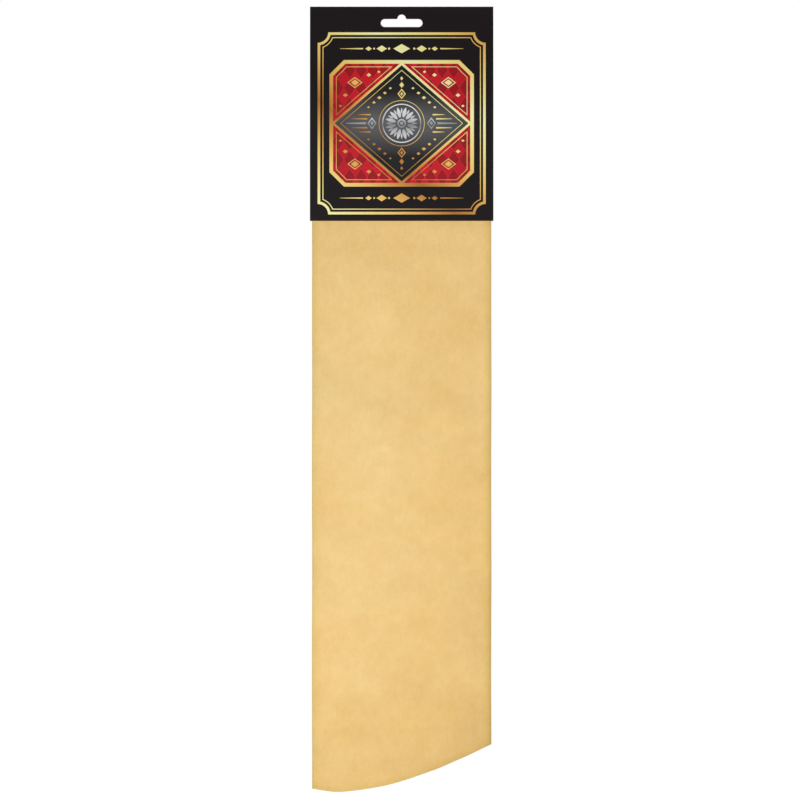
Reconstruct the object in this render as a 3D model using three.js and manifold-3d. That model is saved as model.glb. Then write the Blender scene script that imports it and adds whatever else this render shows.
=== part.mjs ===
// A chamois leather folded into a narrow strip and stapled inside a fold-over hanging card.
//
// Frame: millimetres, +Z up, the front of the card faces -Y, +X to the right seen from the front.
// The origin is the top centre of the hang slot, on the back face of the card, where a display peg bears.
//
// The skin is folded three times. Both flanks are folded in to the backbone, the strip is folded along the
// backbone, and the long strip is folded crosswise over the top, inside the card. So each half of the hanging
// strip has four layers. Seen across the front half from front to back they are C, D, A, B, where B and C meet
// in the round fold at the left and the flanks A and D are tucked between them.

import * as THREE from 'three';
import { mergeVertices } from 'three/addons/utils/BufferGeometryUtils.js';
import Module from 'manifold-3d';

const wasm = await Module();
wasm.setup();

// ---------------------------------------------------------------- driving dimensions

// header card
const CARD_WIDTH = 139.7;
const CARD_TOP = 6.2;
const CARD_BOTTOM = -157.3;
const BOARD = 0.5; // thickness of the board
const SLOT_WIDTH = 31.75; // hang slot: a round-ended band with a round hump over its middle
const SLOT_BAND_TOP = -3.4;
const SLOT_BAND_BOTTOM = -9.5;
const SLOT_HUMP_R = 3.2;
const SLOT_HUMP_FILLET = 0.9;
const CREASE_R = 0.65; // outer radius of the crease at the top of the card
const CREASE_GAP = 0.3; // clearance of the crease over the back panel's top edge
const BEND_END = -74; // below this the front panel hangs straight down in front of the leather

// leather
const HIDE = 0.9; // thickness of the skin
const PLY_GAP = 0.3; // between two layers, and between leather and card
const STRIP_LEFT = -68.4;
const STRIP_RIGHT = 68.6;
const FLANK_SHORT = 4; // the flanks' free edges stop this far from the backbone fold
const FOLD_CENTRE_Z = -74; // centre of the crosswise fold
const CARD_CLEARANCE = 1.0; // between the leather and the front panel, where the staples are clinched

// hinge lines of the leather
const SWING_Z = -163.3; // the whole strip bends here, just under the card
const LIFT_Z = -182; // the front half bends away from the back half here
const HINGE_GAP = 0.4; // left between a hinge's round end and the fixed end above it

// staples
const WIRE_THICK = 0.6;
const WIRE_WIDE = 0.8;
const STAPLE_WIDTH = 12;
const STAPLE_BEND_R = 0.5; // on the wire's centreline
const CLINCH = 3.8; // length of each leg's bent end, from the leg's centreline
const STAPLE_X = 38;
const STAPLE_Z = -112;
const STAPLE_LIFT = 0.05; // between the wire and what it lies on
const LEG_HOLE_X = 1.2;
const LEG_HOLE_Z = 1.4;
const DIMPLE = 0.7; // the crown has pressed the board this far into the leather, so it sits flush with the card's back
const DIMPLE_X = 6.3; // half the length and half the height of the dimple
const DIMPLE_Z = 0.7;
const DIMPLE_WALL = 0.5;

// ---------------------------------------------------------------- derived dimensions

const PITCH = HIDE + PLY_GAP;
const HALF_THICK = 4 * HIDE + 3 * PLY_GAP; // one half of the strip: four layers
const BACK_Y = -(BOARD + PLY_GAP); // back face of the back half
const BACK_MID = BACK_Y - HALF_THICK / 2;
const FRONT_MID = BACK_MID - HALF_THICK - PLY_GAP;
const STACK_MID = (BACK_MID + FRONT_MID) / 2;
const STACK_R = HALF_THICK + PLY_GAP / 2; // half the thickness of all eight layers
const FRONT_Y = STACK_MID - STACK_R; // front face of the leather
const PANEL_BACK_Y = FRONT_Y - CARD_CLEARANCE; // back face of the front panel over the leather

const BIG_FOLD_X = STRIP_LEFT + HALF_THICK / 2; // centre of the backbone fold
const SMALL_FOLD_X = STRIP_RIGHT - (PITCH + HIDE) / 2; // centre of the two flank folds
const FREE_X = BIG_FOLD_X + FLANK_SHORT;

const CREASE_Y = -CREASE_R;
const CREASE_Z = CARD_TOP - CREASE_R;
const BACK_PANEL_TOP = CREASE_Z - CREASE_R - CREASE_GAP;

const TOP_PIECE_END = SWING_Z + STACK_R + HINGE_GAP; // lower end of the leather held in the card
const NECK_END = LIFT_Z + HALF_THICK / 2 + HINGE_GAP;

// Lower edges of the skin, seen from the front, as points (x, z). C is what shows. On each flank the edge starts
// from the fold at the right and climbs towards the flank's free edge.
const EDGE_C = [[-68.4, -589.6], [-58, -591.5], [-46, -592.1], [-30, -590.3], [-10, -586.3], [12, -579.4], [35, -570.7], [53, -562.8], [68.6, -554.7]];
const EDGE_B = [[-68.4, -589.6], [-58, -590.6], [-46, -590.6], [-30, -588.4], [-10, -584.2], [12, -577.1], [35, -568.2], [53, -560.1], [68.6, -552.0]];
const EDGE_D = [[-68.4, -488], [-50, -499], [-25, -513], [0, -526], [25, -537], [48, -546.2], [68.6, -554.7]];
const EDGE_A = [[-68.4, -484], [-50, -495.5], [-25, -510], [0, -523], [25, -534], [48, -543.3], [68.6, -552.0]];
const EDGE_C2 = [[-68.4, -582.0], [-58, -583.4], [-46, -583.0], [-30, -580.4], [-10, -574.8], [12, -566.5], [35, -556.0], [53, -546.8], [68.6, -537.8]];
const EDGE_B2 = [[-68.4, -582.0], [-58, -582.6], [-46, -581.8], [-30, -578.6], [-10, -572.6], [12, -563.8], [35, -553.0], [53, -543.4], [68.6, -534.0]];
const EDGE_D2 = [[-68.4, -468], [-50, -480], [-25, -495], [0, -508.5], [25, -520], [48, -529.3], [68.6, -537.8]];
const EDGE_A2 = [[-68.4, -462], [-50, -474.5], [-25, -490], [0, -504], [25, -516], [48, -525.5], [68.6, -534.0]];

// ---------------------------------------------------------------- materials

const printedBoard = new THREE.MeshStandardMaterial({ color: 0x231f20, roughness: 0.45, metalness: 0 });
const leather = new THREE.MeshStandardMaterial({ color: 0xebcc8b, roughness: 0.95, metalness: 0 });
const steel = new THREE.MeshStandardMaterial({ color: 0xb9bcc0, roughness: 0.35, metalness: 0.9 });

// ---------------------------------------------------------------- helpers

function toManifold(geometry) {
  const bare = geometry.clone();
  bare.deleteAttribute('normal');
  bare.deleteAttribute('uv');
  const merged = mergeVertices(bare, 1e-4);
  const mesh = new wasm.Mesh({
    numProp: 3,
    vertProperties: new Float32Array(merged.attributes.position.array),
    triVerts: new Uint32Array(merged.index.array),
  });
  mesh.merge();
  return new wasm.Manifold(mesh);
}

function toGeometry(manifold) {
  const mesh = manifold.getMesh();
  const geometry = new THREE.BufferGeometry();
  geometry.setAttribute('position', new THREE.BufferAttribute(new Float32Array(mesh.vertProperties), 3));
  geometry.setIndex(new THREE.BufferAttribute(new Uint32Array(mesh.triVerts), 1));
  geometry.computeVertexNormals();
  return geometry;
}

// A prism whose outline is given as (x, z) and which runs from y0 to y1.
function prismAlongY(outline, y0, y1) {
  const shape = outline instanceof THREE.Shape ? outline : new THREE.Shape(outline.map(([x, z]) => new THREE.Vector2(x, z)));
  const geometry = new THREE.ExtrudeGeometry(shape, { depth: y1 - y0, bevelEnabled: false, curveSegments: 8 });
  geometry.rotateX(Math.PI / 2);
  geometry.translate(0, y1, 0);
  return geometry;
}

// A prism whose outline is given as (y, z) and which runs from x0 to x1.
function prismAlongX(outline, x0, x1) {
  const shape = new THREE.Shape(outline.map(([y, z]) => new THREE.Vector2(y, z)));
  const geometry = new THREE.ExtrudeGeometry(shape, { depth: x1 - x0, bevelEnabled: false });
  geometry.rotateX(Math.PI / 2);
  geometry.rotateZ(Math.PI / 2);
  geometry.translate(x0, 0, 0);
  return geometry;
}

function box(x0, x1, y0, y1, z0, z1) {
  const geometry = new THREE.BoxGeometry(x1 - x0, y1 - y0, z1 - z0);
  geometry.translate((x0 + x1) / 2, (y0 + y1) / 2, (z0 + z1) / 2);
  return geometry;
}

function arc(cx, cy, r, fromDeg, toDeg, segments) {
  const points = [];
  for (let i = 0; i <= segments; i++) {
    const a = THREE.MathUtils.degToRad(fromDeg + ((toDeg - fromDeg) * i) / segments);
    points.push([cx + r * Math.cos(a), cy + r * Math.sin(a)]);
  }
  return points;
}

function smooth(points, count) {
  const curve = new THREE.SplineCurve(points.map(([x, z]) => new THREE.Vector2(x, z)));
  return curve.getPoints(count).map((p) => [p.x, p.y]);
}

// A path given by stations, each with its own point, normal and binormal. Extruding along it puts the outline's
// first axis on the normal and its second on the binormal.
class StationPath extends THREE.Curve {
  constructor(stations) {
    super();
    this.stations = stations;
  }

  getPoint(t, target = new THREE.Vector3()) {
    const k = t * (this.stations.length - 1);
    const i = Math.min(Math.floor(k), this.stations.length - 2);
    return target.lerpVectors(this.stations[i].point, this.stations[i + 1].point, k - i);
  }

  getSpacedPoints() {
    return this.stations.map((s) => s.point.clone());
  }

  computeFrenetFrames() {
    const normals = this.stations.map((s) => s.normal.clone());
    const binormals = this.stations.map((s) => s.binormal.clone());
    const tangents = normals.map((n, i) => n.clone().cross(binormals[i]));
    return { tangents, normals, binormals };
  }
}

function extrudeAlong(outline, stations) {
  const shape = new THREE.Shape(outline.map(([a, b]) => new THREE.Vector2(a, b)));
  return new THREE.ExtrudeGeometry(shape, { steps: stations.length - 1, extrudePath: new StationPath(stations), bevelEnabled: false });
}

// Outline of the four folded layers, as (x, u). u is measured from the middle of the four towards the outer face
// of layer C. One sheet runs A, B, C, D with no break, so the outline is one closed ribbon.
function foldedSection() {
  const t = HIDE / 2;
  const r = PITCH / 2;
  const big = 1.5 * PITCH;
  const outer = [
    [FREE_X, -r + t],
    ...arc(SMALL_FOLD_X, -PITCH, r + t, 90, -90, 6),
    ...arc(BIG_FOLD_X, 0, big + t, -90, -270, 8),
    ...arc(SMALL_FOLD_X, PITCH, r + t, 90, -90, 6),
    [FREE_X, r - t],
  ];
  const inner = [
    [FREE_X, -r - t],
    ...arc(SMALL_FOLD_X, -PITCH, r - t, 90, -90, 3),
    ...arc(BIG_FOLD_X, 0, big - t, -90, -270, 8),
    ...arc(SMALL_FOLD_X, PITCH, r - t, 90, -90, 3),
    [FREE_X, r + t],
  ];
  return [...outer, ...inner.reverse()];
}

const SECTION = foldedSection();

// A straight length of the four folded layers. side is +1 for the back half and -1 for the front half.
function foldedLength(mid, side, z0, z1) {
  const shape = new THREE.Shape(SECTION.map(([x, u]) => new THREE.Vector2(x, side * u)));
  const geometry = new THREE.ExtrudeGeometry(shape, { depth: z1 - z0, bevelEnabled: false });
  geometry.translate(0, mid, z0);
  return geometry;
}

// Cuts the four layers to the skin's lower edge, layer by layer.
function trimToEdges(solid, mid, side, edges) {
  const low = -620;
  const below = (edge, fromX) => {
    const curve = smooth(edge, 36).filter(([x]) => x > fromX);
    const first = curve[0];
    return [[Math.min(fromX, first[0] - 1), low], [76, low], [76, curve[curve.length - 1][1]], ...curve.reverse(), [Math.min(fromX, first[0] - 1), first[1]]];
  };
  const cut = (edge, u0, u1, fromX) => {
    const ys = [mid + side * u0, mid + side * u1].sort((a, b) => a - b);
    solid = solid.subtract(toManifold(prismAlongY(below(edge, fromX), ys[0], ys[1])));
  };
  cut(edges.c, 0, 3, -76);
  cut(edges.b, -3, 0, -76);
  cut(edges.d, 0, PITCH, BIG_FOLD_X + 3);
  cut(edges.a, -PITCH, 0, BIG_FOLD_X + 3);
  return solid;
}

// Rounds the top of a hinged piece to the radius that turns about its hinge line.
function roundTop(solid, y, z, r) {
  const outline = [...arc(y, z, r, 8, 172, 16)];
  outline.push([y - r - 3, outline[outline.length - 1][1]], [y - r - 3, z + r + 3], [y + r + 3, z + r + 3], [y + r + 3, outline[0][1]]);
  return solid.subtract(toManifold(prismAlongX(outline, -80, 80)));
}

function hangSlot() {
  const half = SLOT_WIDTH / 2;
  const r = (SLOT_BAND_TOP - SLOT_BAND_BOTTOM) / 2;
  const mid = (SLOT_BAND_TOP + SLOT_BAND_BOTTOM) / 2;
  const humpZ = -SLOT_HUMP_R;
  const f = SLOT_HUMP_FILLET;
  // the fillet's centre sits on the band's top line plus its radius, outside the hump's circle
  const filletZ = SLOT_BAND_TOP + f;
  const filletX = Math.sqrt((SLOT_HUMP_R + f) ** 2 - (filletZ - humpZ) ** 2);
  const meet = THREE.MathUtils.radToDeg(Math.atan2(filletZ - humpZ, filletX));
  return [
    ...arc(-half + r, mid, r, 270, 90, 12),
    ...arc(-filletX, filletZ, f, -90, -meet, 5),
    ...arc(0, humpZ, SLOT_HUMP_R, 180 - meet, meet, 14).slice(1, -1),
    ...arc(filletX, filletZ, f, 180 + meet, 270, 5),
    ...arc(half - r, mid, r, 90, -90, 12),
  ];
}

function legPositions() {
  const legs = [];
  for (const sx of [-STAPLE_X, STAPLE_X]) for (const side of [-1, 1]) legs.push(sx + (side * (STAPLE_WIDTH - WIRE_THICK)) / 2);
  return legs;
}

// The space of one dimple in the board, grown by a margin.
function dimple(x, margin, y0, y1) {
  return box(x - DIMPLE_X - margin, x + DIMPLE_X + margin, y0, y1, STAPLE_Z - DIMPLE_Z - margin, STAPLE_Z + DIMPLE_Z + margin);
}

function named(name, geometry, material) {
  const mesh = new THREE.Mesh(geometry, material);
  mesh.name = name;
  return mesh;
}

// ---------------------------------------------------------------- header card

function backPanel() {
  const half = CARD_WIDTH / 2;
  let panel = toManifold(box(-half, half, -BOARD, 0, CARD_BOTTOM, BACK_PANEL_TOP));
  panel = panel.subtract(toManifold(prismAlongY(hangSlot(), -5, 5)));
  for (const x of [-STAPLE_X, STAPLE_X]) {
    panel = panel.add(toManifold(dimple(x, DIMPLE_WALL, -DIMPLE - BOARD, -BOARD / 2)));
    panel = panel.subtract(toManifold(dimple(x, 0, -DIMPLE, 1)));
  }
  for (const x of legPositions()) {
    panel = panel.subtract(toManifold(box(x - LEG_HOLE_X / 2, x + LEG_HOLE_X / 2, -5, 5, STAPLE_Z - LEG_HOLE_Z / 2, STAPLE_Z + LEG_HOLE_Z / 2)));
  }
  return toGeometry(panel);
}

// Back face of the front panel at height z: it leaves the crease leaning forward and ends straight down.
function panelBackY(z) {
  const top = CREASE_Y - 0.15;
  const s = THREE.MathUtils.clamp((CREASE_Z - z) / (CREASE_Z - BEND_END), 0, 1);
  return top + (PANEL_BACK_Y - top) * (s + s * s - s * s * s);
}

function frontPanel() {
  const steps = 20;
  const z0 = CREASE_Z - CREASE_R;
  const back = [];
  const front = [];
  for (let i = 0; i <= steps; i++) {
    const z = z0 + ((BEND_END - z0) * i) / steps;
    const y = panelBackY(z);
    const slope = (panelBackY(z - 0.01) - panelBackY(z + 0.01)) / 0.02; // how fast y falls going down
    const along = new THREE.Vector2(slope, -1).normalize(); // down the sheet
    back.push([y, z]);
    front.push([y + along.y * BOARD, z - along.x * BOARD]);
  }
  const outline = [
    ...arc(CREASE_Y, CREASE_Z, CREASE_R, -60, 180, 16),
    ...front.slice(1),
    [PANEL_BACK_Y - BOARD, CARD_BOTTOM],
    [PANEL_BACK_Y, CARD_BOTTOM],
    ...back.reverse(),
  ];
  const panel = toManifold(prismAlongX(outline, -CARD_WIDTH / 2, CARD_WIDTH / 2));
  const slot = toManifold(prismAlongY(hangSlot(), -20, 5));
  return toGeometry(panel.subtract(slot));
}

// ---------------------------------------------------------------- staples

function staple(centreX) {
  const half = (STAPLE_WIDTH - WIRE_THICK) / 2;
  const crownY = -STAPLE_LIFT - WIRE_THICK / 2;
  const clinchY = FRONT_Y - STAPLE_LIFT - WIRE_THICK / 2;
  const r = STAPLE_BEND_R;
  const left = -half;
  const right = half;
  const path = [
    [left + CLINCH, clinchY],
    ...arc(left + r, clinchY + r, r, 270, 180, 4),
    ...arc(left + r, crownY - r, r, 180, 90, 4),
    ...arc(right - r, crownY - r, r, 90, 0, 4),
    ...arc(right - r, clinchY + r, r, 0, -90, 4),
    [right - CLINCH, clinchY],
  ];
  const stations = path.map(([x, y], i) => {
    const before = path[Math.max(i - 1, 0)];
    const after = path[Math.min(i + 1, path.length - 1)];
    const tangent = new THREE.Vector3(after[0] - before[0], after[1] - before[1], 0).normalize();
    const binormal = new THREE.Vector3(0, 0, 1);
    return { point: new THREE.Vector3(centreX + x, y, STAPLE_Z), normal: binormal.clone().cross(tangent), binormal };
  });
  const a = WIRE_THICK / 2;
  const b = WIRE_WIDE / 2;
  return extrudeAlong([[-a, -b], [a, -b], [a, b], [-a, b]], stations);
}

// ---------------------------------------------------------------- leather

// The leather inside the card: all eight layers, over the crosswise fold.
function topFold() {
  const x = new THREE.Vector3(1, 0, 0);
  const stations = [];
  const add = (y, z, outY, outZ) => stations.push({ point: new THREE.Vector3(0, y, z), normal: x, binormal: new THREE.Vector3(0, outY, outZ) });
  add(BACK_MID, TOP_PIECE_END, 1, 0);
  const bend = (BACK_MID - FRONT_MID) / 2;
  const steps = 12;
  for (let i = 0; i <= steps; i++) {
    const a = (Math.PI * i) / steps;
    add(STACK_MID + bend * Math.cos(a), FOLD_CENTRE_Z + bend * Math.sin(a), Math.cos(a), Math.sin(a));
  }
  add(FRONT_MID, TOP_PIECE_END, -1, 0);
  let solid = toManifold(extrudeAlong(SECTION, stations));
  for (const sx of [-STAPLE_X, STAPLE_X]) {
    solid = solid.subtract(toManifold(dimple(sx, DIMPLE_WALL + PLY_GAP / 2, -DIMPLE - BOARD - PLY_GAP / 2, BACK_Y + 0.2)));
  }
  for (const legX of legPositions()) {
    const hole = box(legX - LEG_HOLE_X / 2, legX + LEG_HOLE_X / 2, FRONT_Y - 1, BACK_Y + 1, STAPLE_Z - LEG_HOLE_Z / 2, STAPLE_Z + LEG_HOLE_Z / 2);
    solid = solid.subtract(toManifold(hole));
  }
  return toGeometry(solid);
}

function frontNeck() {
  const solid = toManifold(foldedLength(FRONT_MID, -1, NECK_END, SWING_Z + STACK_R + 0.2));
  return toGeometry(roundTop(solid, STACK_MID, SWING_Z, STACK_R));
}

function frontHalf() {
  let solid = toManifold(foldedLength(FRONT_MID, -1, -600, LIFT_Z + HALF_THICK / 2 + 0.2));
  solid = roundTop(solid, FRONT_MID, LIFT_Z, HALF_THICK / 2);
  solid = trimToEdges(solid, FRONT_MID, -1, { a: EDGE_A, b: EDGE_B, c: EDGE_C, d: EDGE_D });
  return toGeometry(solid);
}

function backHalf() {
  let solid = toManifold(foldedLength(BACK_MID, 1, -600, SWING_Z + STACK_R + 0.2));
  solid = roundTop(solid, STACK_MID, SWING_Z, STACK_R);
  solid = trimToEdges(solid, BACK_MID, 1, { a: EDGE_A2, b: EDGE_B2, c: EDGE_C2, d: EDGE_D2 });
  return toGeometry(solid);
}

// ---------------------------------------------------------------- the part

const group = new THREE.Group();
group.name = 'chamois_leather_on_card';

const header = new THREE.Group();
header.add(named('card_back_panel', backPanel(), printedBoard));
header.add(named('staple_left', staple(-STAPLE_X), steel));
header.add(named('staple_right', staple(STAPLE_X), steel));
header.add(named('chamois_top_fold', topFold(), leather));
group.add(header);

const cardFront = new THREE.Group();
cardFront.add(named('card_front_panel', frontPanel(), printedBoard));
group.add(cardFront);

const strip = new THREE.Group();
strip.add(named('chamois_front_neck', frontNeck(), leather));
strip.add(named('chamois_back_half', backHalf(), leather));
const frontFlap = new THREE.Group();
frontFlap.add(named('chamois_front_half', frontHalf(), leather));
strip.add(frontFlap);
group.add(strip);

export default group;
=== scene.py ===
import math

import bpy
import numpy as np
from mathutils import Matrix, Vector
from mathutils.geometry import delaunay_2d_cdt


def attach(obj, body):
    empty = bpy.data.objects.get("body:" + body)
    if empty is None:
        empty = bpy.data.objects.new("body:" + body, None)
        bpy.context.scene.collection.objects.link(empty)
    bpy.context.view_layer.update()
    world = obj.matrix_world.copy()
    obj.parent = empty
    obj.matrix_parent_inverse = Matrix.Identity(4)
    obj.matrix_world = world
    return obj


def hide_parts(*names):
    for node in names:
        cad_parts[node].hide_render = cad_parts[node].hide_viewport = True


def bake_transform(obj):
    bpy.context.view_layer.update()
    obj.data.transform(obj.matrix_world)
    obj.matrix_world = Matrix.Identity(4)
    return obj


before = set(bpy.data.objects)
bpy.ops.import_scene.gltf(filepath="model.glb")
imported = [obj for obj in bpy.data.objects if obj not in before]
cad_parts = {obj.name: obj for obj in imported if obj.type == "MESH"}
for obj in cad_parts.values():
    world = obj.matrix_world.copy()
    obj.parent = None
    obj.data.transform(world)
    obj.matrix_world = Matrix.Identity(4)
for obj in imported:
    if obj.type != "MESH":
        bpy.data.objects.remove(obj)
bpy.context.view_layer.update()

# A chamois leather folded into a strip, held by two staples inside a fold-over hanging card.
# Lengths below are in millimetres and become metres where a mesh is made.

MM = 0.001

# header card
CARD_HALF = 69.85
CARD_TOP = 6.2
CARD_BOTTOM = -157.3
BOARD = 0.5
CREASE_Y = -0.65
CREASE_Z = 5.55
CREASE_MID_R = 0.4  # of the middle of the board
CREASE_ARC_END = math.radians(172.6)
ARC = CREASE_MID_R * CREASE_ARC_END
BEND_END = -74.0
PANEL_BACK_Y = -11.1
SLOT_HALF = 15.875
SLOT_BAND_TOP = -3.4
SLOT_BAND_BOTTOM = -9.5
SLOT_HUMP_R = 3.2
SLOT_FILLET = 0.9

# leather
HIDE = 0.9
PITCH = 1.2
STRIP_LEFT = -68.4
STRIP_RIGHT = 68.6
BIG_FOLD_X = -66.15
SMALL_FOLD_X = 67.55
FREE_X = -62.15
BACK_Y = -0.8
BACK_MID = -3.05
FRONT_MID = -7.85
STACK_MID = -5.45
FOLD_CENTRE_Z = -74.0
FOLD_BEND = 2.4
SEAM_Z = -174.5
FREE_Z = -200.0  # below this the rows of the mesh follow the skin's lower edge

EDGE_C = [(-68.4, -589.6), (-58, -591.5), (-46, -592.1), (-30, -590.3), (-10, -586.3), (12, -579.4), (35, -570.7), (53, -562.8), (68.6, -554.7)]
EDGE_B = [(-68.4, -589.6), (-58, -590.6), (-46, -590.6), (-30, -588.4), (-10, -584.2), (12, -577.1), (35, -568.2), (53, -560.1), (68.6, -552.0)]
EDGE_D = [(-68.4, -488), (-50, -499), (-25, -513), (0, -526), (25, -537), (48, -546.2), (68.6, -554.7)]
EDGE_A = [(-68.4, -484), (-50, -495.5), (-25, -510), (0, -523), (25, -534), (48, -543.3), (68.6, -552.0)]
EDGE_C2 = [(-68.4, -582.0), (-58, -583.4), (-46, -583.0), (-30, -580.4), (-10, -574.8), (12, -566.5), (35, -556.0), (53, -546.8), (68.6, -537.8)]
EDGE_B2 = [(-68.4, -582.0), (-58, -582.6), (-46, -581.8), (-30, -578.6), (-10, -572.6), (12, -563.8), (35, -553.0), (53, -543.4), (68.6, -534.0)]
EDGE_D2 = [(-68.4, -468), (-50, -480), (-25, -495), (0, -508.5), (25, -520), (48, -529.3), (68.6, -537.8)]
EDGE_A2 = [(-68.4, -462), (-50, -474.5), (-25, -490), (0, -504), (25, -516), (48, -525.5), (68.6, -534.0)]

# staples
STAPLE_X = 38.0
STAPLE_Z = -112.0
STAPLE_HALF = 5.7  # from the staple's middle to the middle of a leg
WIRE_Y = 0.6
WIRE_Z = 0.8
CLINCH = 3.8
DIMPLE = 0.7

# joint axes
SWING_Y, SWING_Z = -5.45, -163.3
LIFT_Z = -182.0


# ---------------------------------------------------------------- camera

camera_data = bpy.data.cameras.new("camera")
camera_data.type = "PERSP"
camera_data.lens = 531.3
camera_data.sensor_width = 36.0
camera_data.clip_start = 0.1
camera_data.clip_end = 200.0
camera = bpy.data.objects.new("camera", camera_data)
camera.location = (-1.27 * MM, -9.0, -293.65 * MM)
camera.rotation_euler = (math.radians(90), 0, 0)
bpy.context.scene.collection.objects.link(camera)
bpy.context.scene.camera = camera


# ---------------------------------------------------------------- helpers


def smoothstep(a, b, x):
    t = np.clip((np.asarray(x, float) - a) / (b - a), 0, 1)
    return t * t * (3 - 2 * t)


class Waves:
    """A smooth random field over the plane: many sines of random direction, the same ones each run."""

    def __init__(self, seed, count, shortest, longest):
        r = np.random.default_rng(seed)
        length = np.exp(r.uniform(math.log(shortest), math.log(longest), count))
        turn = r.uniform(0, 2 * math.pi, count)
        self.kx = 2 * math.pi / length * np.cos(turn)
        self.ky = 2 * math.pi / length * np.sin(turn)
        self.phase = r.uniform(0, 2 * math.pi, count)
        self.size = (length / longest) ** 0.5
        self.size /= math.sqrt((self.size**2).sum() / 2)

    def __call__(self, x, y):
        out = np.zeros(np.broadcast(x, y).shape)
        for kx, ky, p, a in zip(self.kx, self.ky, self.phase, self.size):
            out += a * np.sin(kx * x + ky * y + p)
        return out


def catmull(points, x):
    """The curve through the points, read at x."""
    p = np.array(points, float)
    n = len(p) - 1
    k = np.linspace(0, n, 60 * n + 1)
    i = np.minimum(k.astype(int), n - 1)
    t = (k - i)[:, None]
    p0, p1, p2, p3 = p[np.maximum(i - 1, 0)], p[i], p[i + 1], p[np.minimum(i + 2, n)]
    v0, v1 = (p2 - p0) / 2, (p3 - p1) / 2
    c = (2 * p1 - 2 * p2 + v0 + v1) * t**3 + (-3 * p1 + 3 * p2 - 2 * v0 - v1) * t**2 + v0 * t + p1
    return np.interp(x, c[:, 0], c[:, 1])


def make_object(name, points, faces, material=None):
    """A mesh object from points in millimetres."""
    mesh = bpy.data.meshes.new(name)
    mesh.from_pydata((np.asarray(points, float) * MM).tolist(), [], [tuple(int(i) for i in f) for f in faces])
    mesh.update()
    mesh.polygons.foreach_set("use_smooth", np.ones(len(mesh.polygons), bool))
    o = bpy.data.objects.new(name, mesh)
    bpy.context.scene.collection.objects.link(o)
    if material is not None:
        mesh.materials.append(material)
    return o


def point_vectors(o, name, values):
    a = o.data.attributes.new(name, "FLOAT_VECTOR", "POINT")
    a.data.foreach_set("vector", np.asarray(values, np.float32).ravel())


def point_values(o, name, values):
    a = o.data.attributes.new(name, "FLOAT", "POINT")
    a.data.foreach_set("value", np.asarray(values, np.float32).ravel())


# ---------------------------------------------------------------- shader helpers


class Nodes:
    """Short names for building a node tree."""

    def __init__(self, tree):
        self.tree = tree
        tree.nodes.clear()

    def new(self, kind, **inputs):
        node = self.tree.nodes.new(kind)
        for k, v in inputs.items():
            self.put(node.inputs[k], v)
        return node

    def put(self, socket, value):
        if isinstance(value, bpy.types.NodeSocket):
            self.tree.links.new(value, socket)
        else:
            socket.default_value = value

    def math(self, op, a, b=None, c=None, clamp=False):
        n = self.tree.nodes.new("ShaderNodeMath")
        n.operation = op
        n.use_clamp = clamp
        for i, v in enumerate((a, b, c)):
            if v is not None:
                self.put(n.inputs[i], v)
        return n.outputs[0]

    def vec(self, op, a, b=None):
        n = self.tree.nodes.new("ShaderNodeVectorMath")
        n.operation = op
        self.put(n.inputs[0], a)
        if b is not None:
            self.put(n.inputs[1], b)
        return n.outputs[0]

    def attribute(self, name):
        n = self.tree.nodes.new("ShaderNodeAttribute")
        n.attribute_type = "GEOMETRY"
        n.attribute_name = name
        return n

    def noise(self, at, scale, detail=2.0, rough=0.5, distortion=0.0):
        n = self.tree.nodes.new("ShaderNodeTexNoise")
        n.noise_dimensions = "3D"
        self.put(n.inputs["Vector"], at)
        n.inputs["Scale"].default_value = scale
        n.inputs["Detail"].default_value = detail
        n.inputs["Roughness"].default_value = rough
        n.inputs["Distortion"].default_value = distortion
        return n.outputs["Fac"]

    def mix(self, fac, a, b, blend="MIX"):
        n = self.tree.nodes.new("ShaderNodeMix")
        n.data_type = "RGBA"
        n.blend_type = blend
        n.clamp_factor = True
        self.put(n.inputs[0], fac)
        self.put(n.inputs[6], a)
        self.put(n.inputs[7], b)
        return n.outputs[2]

    def ramp(self, fac, stops):
        n = self.tree.nodes.new("ShaderNodeValToRGB")
        e = n.color_ramp.elements
        while len(e) < len(stops):
            e.new(0.5)
        for item, (place, colour) in zip(e, stops):
            item.position = place
            item.color = colour
        self.put(n.inputs[0], fac)
        return n.outputs[0]

    def grey(self, value):
        n = self.tree.nodes.new("ShaderNodeCombineColor")
        for i in range(3):
            self.put(n.inputs[i], value)
        return n.outputs[0]

    def bump(self, height, strength, distance, normal=None):
        n = self.tree.nodes.new("ShaderNodeBump")
        n.inputs["Strength"].default_value = strength
        n.inputs["Distance"].default_value = distance
        self.put(n.inputs["Height"], height)
        if normal is not None:
            self.put(n.inputs["Normal"], normal)
        return n.outputs[0]

    def surface(self, base, rough, normal=None, **sockets):
        """The shader and the output. sockets are plain values by the shader's own socket names, with _ for a space."""
        n = self.tree.nodes.new("ShaderNodeBsdfPrincipled")
        self.put(n.inputs["Base Color"], base)
        self.put(n.inputs["Roughness"], rough)
        if normal is not None:
            self.put(n.inputs["Normal"], normal)
        for k, v in sockets.items():
            self.put(n.inputs[k.replace("_", " ")], v)
        out = self.tree.nodes.new("ShaderNodeOutputMaterial")
        self.tree.links.new(n.outputs[0], out.inputs["Surface"])
        return n


def material(name):
    m = bpy.data.materials.new(name)
    m.use_nodes = True
    return m, Nodes(m.node_tree)


def srgb(r, g, b):
    """A colour given as 0-255 in sRGB, as the linear colour that a socket takes."""
    out = []
    for c in (r, g, b):
        c /= 255
        out.append(c / 12.92 if c <= 0.04045 else ((c + 0.055) / 1.055) ** 2.4)
    return (*out, 1.0)


# ---------------------------------------------------------------- materials


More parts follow.
